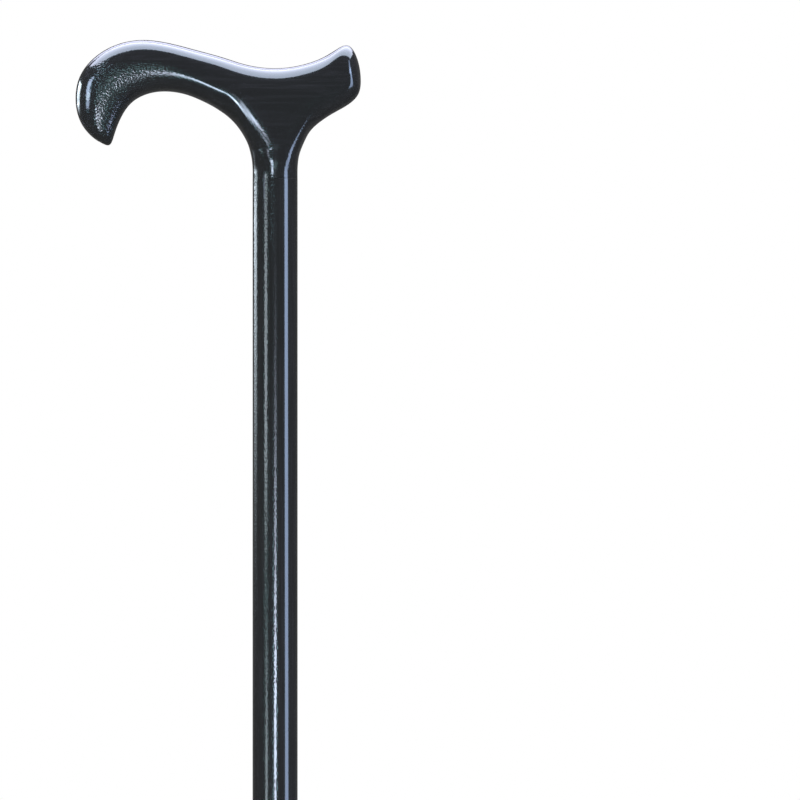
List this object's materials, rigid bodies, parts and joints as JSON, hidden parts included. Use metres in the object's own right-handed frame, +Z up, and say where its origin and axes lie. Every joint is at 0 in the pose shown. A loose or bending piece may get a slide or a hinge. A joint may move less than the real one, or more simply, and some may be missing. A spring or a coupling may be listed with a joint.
{
  "type": "walking cane",
  "caption": "Straight wooden walking cane with a hooked derby handle, a turned shaft and a pull-off rubber ferrule with a ringed tread.",
  "frame": {"origin": "centre of the ferrule's ground face, on the shaft's axis", "axes": "+Z up along the shaft's axis, -X towards the handle's hooked nose, +X towards its tail, Y across the palm"},
  "size_m": [0.1268, 0.036, 0.9299],
  "materials": {
    "handle_wood": "black stain under high-gloss lacquer",
    "shaft_wood": "black stain under high-gloss lacquer",
    "stud_steel": "zinc-plated, threaded",
    "ferrule_rubber": "matt moulded rubber",
    "washer_steel": "zinc-plated"
  },
  "bodies": {
    "cane": {"handle": "handle_wood", "joint_stud": "stud_steel", "shaft": "shaft_wood"},
    "ferrule": {"ferrule": "ferrule_rubber", "ferrule_washer": "washer_steel"}
  },
  "joints": [
    {"name": "ferrule_pull_off", "type": "slide", "parent": "cane", "child": "ferrule", "axis": [0, 0, -1], "range_m": [0, 0.045]}
  ]
}
